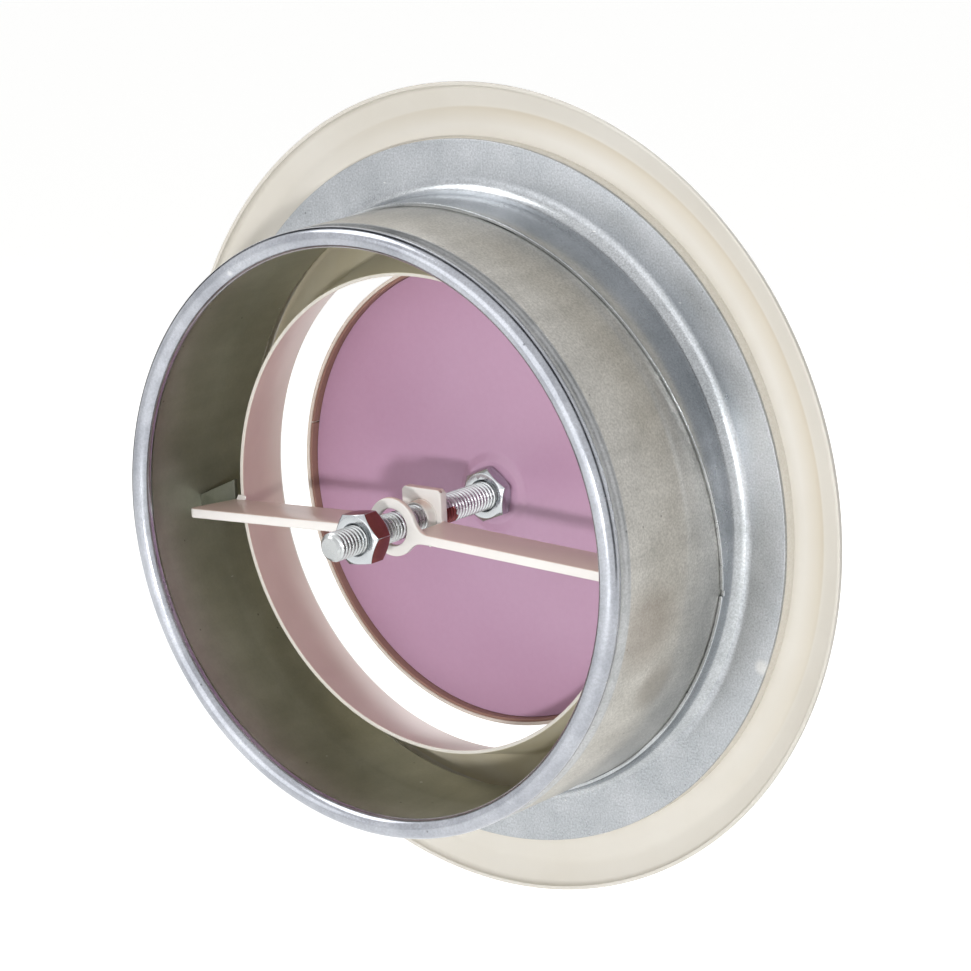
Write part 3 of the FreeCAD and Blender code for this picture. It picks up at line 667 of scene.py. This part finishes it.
def hex_nut(name, y_from, height, turn):
    """M6 nut: a hexagon prism turned to chamfered faces and a countersunk bore."""
    bore_r, sink, sink_r, face_r, chamfer, past_corner_r = 3.03, 0.45, 3.4, 4.7, 1.05, 6.3
    corner = NUT_FLATS / 2 / cos(30)
    angles = [math.radians(turn + 60 * i) for i in range(6)]
    nut = drawn(name, [(corner * math.cos(a), y_from, corner * math.sin(a)) for a in angles])
    bpy.ops.mesh.edge_face_add()
    bpy.ops.mesh.extrude_region_move(TRANSFORM_OT_translate={"value": (0, height * MM, 0)})
    bpy.ops.mesh.select_all(action="SELECT")
    bpy.ops.mesh.normals_make_consistent(inside=False)
    bpy.ops.object.mode_set(mode="OBJECT")
    y_to = y_from + height
    turned = [(bore_r, y_from + sink), (sink_r, y_from), (face_r, y_from),
              (past_corner_r, y_from + chamfer), (past_corner_r, y_to - chamfer), (face_r, y_to),
              (sink_r, y_to), (bore_r, y_to - sink)]
    combined(nut, spun("turned_envelope", turned, 120), "INTERSECT")
    rounded(nut, 0.07, 20.0)
    return nut


def lock_nut():
    """Nut on the duct end of the spindle, with a painted dark red reflection on its flats."""
    flat_from, flat_to = 4.6, 5.65
    nut = hex_nut("finished_lock_nut", y_from=-42.4, height=NUT_T, turn=7.0)
    dressed(nut, "lock_nut", "lock_nut", "zinc_nut", zinc_nut, red_painted_reflection)
    painted_where(nut, 1, lambda at, normal: abs(normal.y) < 0.02 and flat_from < radius_of(at) < flat_to)


def disc_nut():
    """Thin nut on the duct side of the disc."""
    nut = hex_nut("finished_disc_nut", y_from=-1.4, height=THIN_NUT_T, turn=22.0)
    dressed(nut, "disc", "disc_nut", "zinc_thin_nut", zinc_nut)


def disc_inner_nut():
    """Its partner inside the disc."""
    nut = hex_nut("finished_disc_inner_nut", y_from=4.2, height=THIN_NUT_T, turn=22.0)
    dressed(nut, "disc", "disc_inner_nut", "zinc_inner_nut", zinc_nut)


def boss():
    """Bend path of a disc sheet from its bolt hole down the flank of the boss, and where that ends."""
    slope, top_r, foot_r = 25.0, 1.2, 2.5
    flank = (BOSS_HEIGHT - (top_r + foot_r) * (1 - cos(slope))) / sin(slope)
    ends_at = BOSS_R + (top_r + foot_r) * sin(slope) + flank * cos(slope)
    moves = [("run", BOSS_R - BOLT_HOLE_R), ("bend", top_r, slope), ("run", flank), ("bend", foot_r, -slope)]
    return moves, ends_at


def intumescent_pad():
    """Sheet over the duct face of the disc, raised over the boss."""
    clearance = 0.05
    moves, boss_foot = boss()
    moves.append(("run", DISC_R - DISC_SHEET - STRIP_T - clearance - boss_foot))
    start = (BOLT_HOLE_R, PAD_FACE - BOSS_HEIGHT)
    pad = spun("finished_intumescent_pad", sheet_profile(start, 0, moves, 0, PAD_T))
    rounded(pad, 0.15)
    dressed(pad, "disc", "intumescent_pad", "intumescent_sheet", pad_film)


def disc_backing_plate():
    """Pressed plate behind the pad, with a turned edge."""
    edge_r, edge_run = PAD_T + PLATE_T + 0.6, 1.5
    moves, boss_foot = boss()
    moves += [("run", DISC_R - DISC_SHEET + PAD_T - edge_r - boss_foot), ("bend", edge_r, 90),
              ("run", edge_run)]
    start = (BOLT_HOLE_R, PAD_FACE - BOSS_HEIGHT)
    plate = spun("finished_disc_backing_plate", sheet_profile(start, 0, moves, PAD_T, PAD_T + PLATE_T))
    rounded(plate, 0.1)
    dressed(plate, "disc", "disc_backing_plate", "galvanised_plate", plate_steel)


def rim_strip():
    """Strip inside the disc's wall, with a gap where its ends meet."""
    outer, gap, gap_at = DISC_R - DISC_SHEET, 0.4, math.radians(168.0)
    cut_depth, cut_height, cut_y = 3, 8, DISC_EDGE + 2
    edge, back = DISC_EDGE + 0.3, PAD_FACE + PAD_T
    strip = spun("finished_rim_strip", [(outer, edge), (outer, back), (outer - STRIP_T, back),
                                        (outer - STRIP_T, edge)])
    gap_place = (outer * math.cos(gap_at), cut_y, outer * math.sin(gap_at))
    combined(strip, block((cut_depth, cut_height, gap), gap_place, -gap_at), "DIFFERENCE")
    rounded(strip, 0.08)
    dressed(strip, "disc", "rim_strip", "intumescent_edge", strip_film)


def disc_shell():
    """The disc itself: a low wall, a round corner and a shallow dome on the room side."""
    wall, corner_r, dome = 6.0, 3.5, 6.0
    dome_from = DISC_R - corner_r * (1 - sin(dome))
    moves = [("run", wall), ("bend", corner_r, 90 - dome), ("bend", dome_from / sin(dome), dome)]
    near = bent((DISC_R, DISC_EDGE), 90, moves, 0, 1.0)
    far = bent((DISC_R, DISC_EDGE), 90, moves, DISC_SHEET, 1.0)
    near[-1] = (0, near[-1][1])
    far[-1] = (0, far[-1][1])
    shell = spun("finished_disc_shell", near[::-1] + far)
    rounded(shell, 0.15, 50.0)
    dressed(shell, "disc", "disc_shell", "cream_enamel_disc", disc_paint)


def background_rays(tree):
    """1 for the rays that show the background: from the camera, off gloss and through glass."""
    rays = add(tree, "ShaderNodeLightPath")
    seen = add(tree, "ShaderNodeMath", {"operation": "MAXIMUM"},
               {0: rays.outputs["Is Camera Ray"], 1: rays.outputs["Is Glossy Ray"]})
    seen = add(tree, "ShaderNodeMath", {"operation": "MAXIMUM"},
               {0: seen.outputs["Value"], 1: rays.outputs["Is Transmission Ray"]})
    return seen.outputs["Value"]


def floor():
    """Pale floor, lifted to white where it is lit, so that it keeps only the object's shadow."""
    bpy.ops.object.select_all(action="DESELECT")
    bpy.ops.mesh.primitive_plane_add(size=6, location=(0, 0, -0.32))
    plane = bpy.context.object
    plane.name = "studio_floor"
    material, tree, surface, _ = finish_of("studio_floor_white", "#f4f4f2", 0.0, 0.9,
                                           **{"Emission Color": (1, 1, 1, 1)})
    plane.data.materials.append(material)
    lift = add(tree, "ShaderNodeMath", {"operation": "MULTIPLY", 1: 0.55}, {0: background_rays(tree)})
    tree.links.new(lift.outputs["Value"], surface.inputs["Emission Strength"])


def studio_world():
    """Pale studio walls, brighter above and dimmer below, that show as white behind the object."""
    world = bpy.data.worlds.new("studio")
    bpy.context.scene.world = world
    world.use_nodes = True
    tree = world.node_tree
    tree.nodes.clear()
    up = add(tree, "ShaderNodeTexCoord")
    split = add(tree, "ShaderNodeSeparateXYZ", links={"Vector": up.outputs["Generated"]})
    ramp = add(tree, "ShaderNodeMapRange",
               {"From Min": -0.8, "From Max": 0.9, "To Min": 0.34, "To Max": 0.46},
               {"Value": split.outputs["Z"]})
    walls = add(tree, "ShaderNodeBackground", {"Strength": 1.0}, {"Color": ramp.outputs["Result"]})
    white = add(tree, "ShaderNodeBackground", {"Color": (1, 1, 1, 1), "Strength": 1.0})
    mixed = add(tree, "ShaderNodeMixShader", links={
        0: background_rays(tree), 1: walls.outputs["Background"], 2: white.outputs["Background"]})
    add(tree, "ShaderNodeOutputWorld", links={"Surface": mixed.outputs["Shader"]})


def softbox(name, place, size, power):
    """Softbox aimed at the valve: its place and its two sides in metres, and its power in watts."""
    light = bpy.data.lights.new(name, "AREA")
    light.shape = "RECTANGLE"
    light.size, light.size_y = size
    light.energy = power
    lamp = bpy.data.objects.new(name, light)
    bpy.context.collection.objects.link(lamp)
    lamp.location = place
    lamp.rotation_mode = "QUATERNION"
    lamp.rotation_quaternion = (-Vector(place)).to_track_quat("-Z", "Y")
    return lamp


def studio_lamps():
    """A small softbox that draws the shadow of the crossbar on the pad, a weak one beside it for the
    highlights on metal, and large ones in front, above and on the room side.
    """
    shadow = softbox("shadow_softbox", (0.59, -1.16, 0.02), (0.07, 0.07), 7.5)
    shadow.visible_glossy = False
    highlight = softbox("highlight_softbox", (0.585, -1.15, 0.03), (0.1, 0.1), 2.6)
    highlight.visible_diffuse = False
    softbox("front_softbox", (-0.2, -1.4, 0.3), (1.4, 1.0), 4.2)
    softbox("top_softbox", (-0.7, -0.35, 1.05), (0.6, 0.6), 3.5)
    softbox("room_side_softbox", (-0.35, 1.5, 0.45), (1.2, 1.2), 8)


def dark_hoop():
    """Dark felt hoop around the duct axis that only reflections see; it gives bent metal dark outlines."""
    bpy.ops.object.select_all(action="DESELECT")
    bpy.ops.mesh.primitive_cylinder_add(vertices=64, radius=1.2, depth=0.62, end_fill_type="NOTHING",
                                        location=(0, 0.42, 0), rotation=(math.radians(90), 0, 0))
    hoop = bpy.context.object
    hoop.name = "dark_hoop"
    material, *_ = finish_of("dark_hoop_felt", "#24262b", 0.0, 0.9)
    hoop.data.materials.append(material)
    hoop.visible_camera = False
    hoop.visible_diffuse = False
    hoop.visible_shadow = False


CAMERA_TURN = 38.01        # degrees, from the duct axis towards +X
CAMERA_RISE = 15.45
CROSSBAR_TILT = 3.0        # the part's crossbar is level; the photograph has it turned by this
SENSOR_MM = 36.0
FOCAL_PIXELS = 4000.0
FRAME_PIXELS = 971.0
AIM = (0.66, 3.38, 820.6)  # centre of the wall plane as the camera has it: right, down, ahead, mm
AXIS_SHIFT = (-0.5, 1.5)   # the camera moves against this, so that the collar meets the photograph's


def photograph_camera():
    """The photograph's own camera, as solved from the circles of the collar."""
    a, e, t = (math.radians(v) for v in (CAMERA_TURN, CAMERA_RISE, CROSSBAR_TILT))
    right = Vector((math.cos(a), math.sin(a), 0))
    down = Vector((math.sin(e) * math.sin(a), -math.sin(e) * math.cos(a), -math.cos(e)))
    ahead = Vector((-math.cos(e) * math.sin(a), math.cos(e) * math.cos(a), -math.sin(e)))
    place = -(right * AIM[0] + down * AIM[1] + ahead * AIM[2])
    place -= Vector((AXIS_SHIFT[0], 0, AXIS_SHIFT[1]))
    level = Matrix(((math.cos(t), 0, math.sin(t)), (0, 1, 0), (-math.sin(t), 0, math.cos(t))))
    columns = [level @ right, -(level @ down), -(level @ ahead), (level @ place) * MM]
    data = bpy.data.cameras.new("photograph_camera")
    data.sensor_width = SENSOR_MM
    data.lens = SENSOR_MM * FOCAL_PIXELS / FRAME_PIXELS
    data.clip_start, data.clip_end = 0.05, 20.0
    camera = bpy.data.objects.new("photograph_camera", data)
    bpy.context.collection.objects.link(camera)
    camera.matrix_world = Matrix([[columns[c][r] for c in range(4)] for r in range(3)] + [[0, 0, 0, 1]])
    bpy.context.scene.camera = camera


spigot_tube()
mounting_flange()
collar_catches()
foam_gasket()
valve_body()
crossbar()
crossbar_welds()
threaded_bush()
spindle()
lock_nut()
disc_nut()
disc_inner_nut()
intumescent_pad()
disc_backing_plate()
rim_strip()
disc_shell()

floor()
studio_world()
studio_lamps()
dark_hoop()
photograph_camera()
bpy.context.scene.view_settings.view_transform = "Standard"
